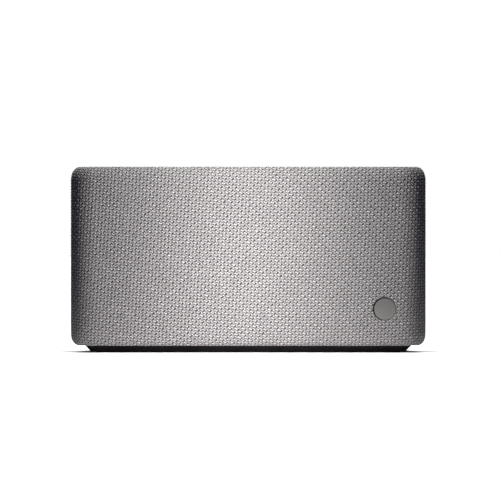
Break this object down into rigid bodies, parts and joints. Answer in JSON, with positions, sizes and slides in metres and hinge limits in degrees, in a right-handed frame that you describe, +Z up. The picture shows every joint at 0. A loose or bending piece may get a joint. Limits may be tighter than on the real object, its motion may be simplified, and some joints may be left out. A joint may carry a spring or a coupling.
{
  "type": "smart speaker",
  "caption": "Cloth-wrapped table speaker: wide rounded box on a dark tapered plinth, with six press keys on top, a corner badge, a rear port panel and sprung drivers inside.",
  "frame": {"origin": "centre of the footprint on the surface it stands on", "axes": "+X towards the listener's right along the width, front faces -Y, +Z up"},
  "size_m": [0.204, 0.062, 0.1065],
  "materials": {
    "cloth": "woven",
    "badge": "satin",
    "shell": "moulded",
    "cabinet": "moulded",
    "plinth": "matte",
    "rubber": "matte",
    "top": "soft touch",
    "keys": "satin",
    "screws": "zinc, dark",
    "foam": "foam",
    "basket": "powder coat",
    "plate": "zinc",
    "ferrite": "ground",
    "cone": "coated",
    "cap": "anodised",
    "coil": "enamelled",
    "spider": "resin-dipped",
    "piston": "anodised",
    "board": "solder mask",
    "switch": "moulded",
    "light": "diffusing",
    "sink": "anodised",
    "can": "tinned",
    "port": "moulded",
    "port_steel": "nickel",
    "cell": "shrink wrap",
    "tray": "moulded",
    "wire": "PVC",
    "ribbon": "film"
  },
  "bodies": {
    "speaker_body": {"fabric_sleeve": "cloth", "front_shell": "shell", "rear_shell": "shell", "shell_screws": "screws", "badge_disc": "badge", "base_plinth": "plinth", "foot_pad": "rubber", "plinth_screws": "screws", "cabinet_tub": "cabinet", "front_baffle": "cabinet", "baffle_gasket": "foam", "baffle_screws": "screws", "driver_screws": "screws", "radiator_frame": "cabinet", "radiator_surround": "rubber", "radiator_screws": "screws", "top_panel": "top", "key_board": "board", "tact_switches": "switch", "microphone_boots": "rubber", "status_light_pipe": "light", "main_board": "board", "board_screws": "screws", "amplifier_heat_sink": "sink", "wireless_shield_can": "can", "dc_jack": "port", "usb_port": "port_steel", "aux_jack": "port", "connector_panel": "port", "panel_screws": "screws", "battery_cells": "cell", "battery_tray": "tray", "speaker_leads": "wire", "key_ribbon": "ribbon", "left_basket": "basket", "left_top_plate": "plate", "left_magnet": "ferrite", "left_yoke": "plate", "left_surround": "rubber", "left_spider": "spider", "right_basket": "basket", "right_top_plate": "plate", "right_magnet": "ferrite", "right_yoke": "plate", "right_surround": "rubber", "right_spider": "spider"},
    "power_key_body": {"power_key": "keys"},
    "source_key_body": {"source_key": "keys"},
    "volume_down_key_body": {"volume_down_key": "keys"},
    "play_key_body": {"play_key": "keys"},
    "volume_up_key_body": {"volume_up_key": "keys"},
    "mic_mute_key_body": {"mic_mute_key": "keys"},
    "left_diaphragm": {"left_cone": "cone", "left_voice_coil": "coil", "left_dust_cap": "cap"},
    "right_diaphragm": {"right_cone": "cone", "right_voice_coil": "coil", "right_dust_cap": "cap"},
    "bass_radiator": {"radiator_piston": "piston"}
  },
  "joints": [
    {"name": "power_key_press", "type": "slide", "parent": "speaker_body", "child": "power_key_body", "axis": [0, 0, -1], "range_m": [0, 0.0007], "stiffness_N_per_m": 900},
    {"name": "source_key_press", "type": "slide", "parent": "speaker_body", "child": "source_key_body", "axis": [0, 0, -1], "range_m": [0, 0.0007], "stiffness_N_per_m": 900},
    {"name": "volume_down_key_press", "type": "slide", "parent": "speaker_body", "child": "volume_down_key_body", "axis": [0, 0, -1], "range_m": [0, 0.0007], "stiffness_N_per_m": 900},
    {"name": "play_key_press", "type": "slide", "parent": "speaker_body", "child": "play_key_body", "axis": [0, 0, -1], "range_m": [0, 0.0007], "stiffness_N_per_m": 900},
    {"name": "volume_up_key_press", "type": "slide", "parent": "speaker_body", "child": "volume_up_key_body", "axis": [0, 0, -1], "range_m": [0, 0.0007], "stiffness_N_per_m": 900},
    {"name": "mic_mute_key_press", "type": "slide", "parent": "speaker_body", "child": "mic_mute_key_body", "axis": [0, 0, -1], "range_m": [0, 0.0007], "stiffness_N_per_m": 900},
    {"name": "left_diaphragm_stroke", "type": "slide", "parent": "speaker_body", "child": "left_diaphragm", "axis": [0, -1, 0], "range_m": [-0.002, 0.002], "stiffness_N_per_m": 1400, "deforming": ["left_surround", "left_spider"]},
    {"name": "right_diaphragm_stroke", "type": "slide", "parent": "speaker_body", "child": "right_diaphragm", "axis": [0, -1, 0], "range_m": [-0.002, 0.002], "stiffness_N_per_m": 1400, "deforming": ["right_surround", "right_spider"]},
    {"name": "radiator_stroke", "type": "slide", "parent": "speaker_body", "child": "bass_radiator", "axis": [0, 1, 0], "range_m": [-0.0025, 0.0025], "stiffness_N_per_m": 900, "deforming": ["radiator_surround"]}
  ]
}
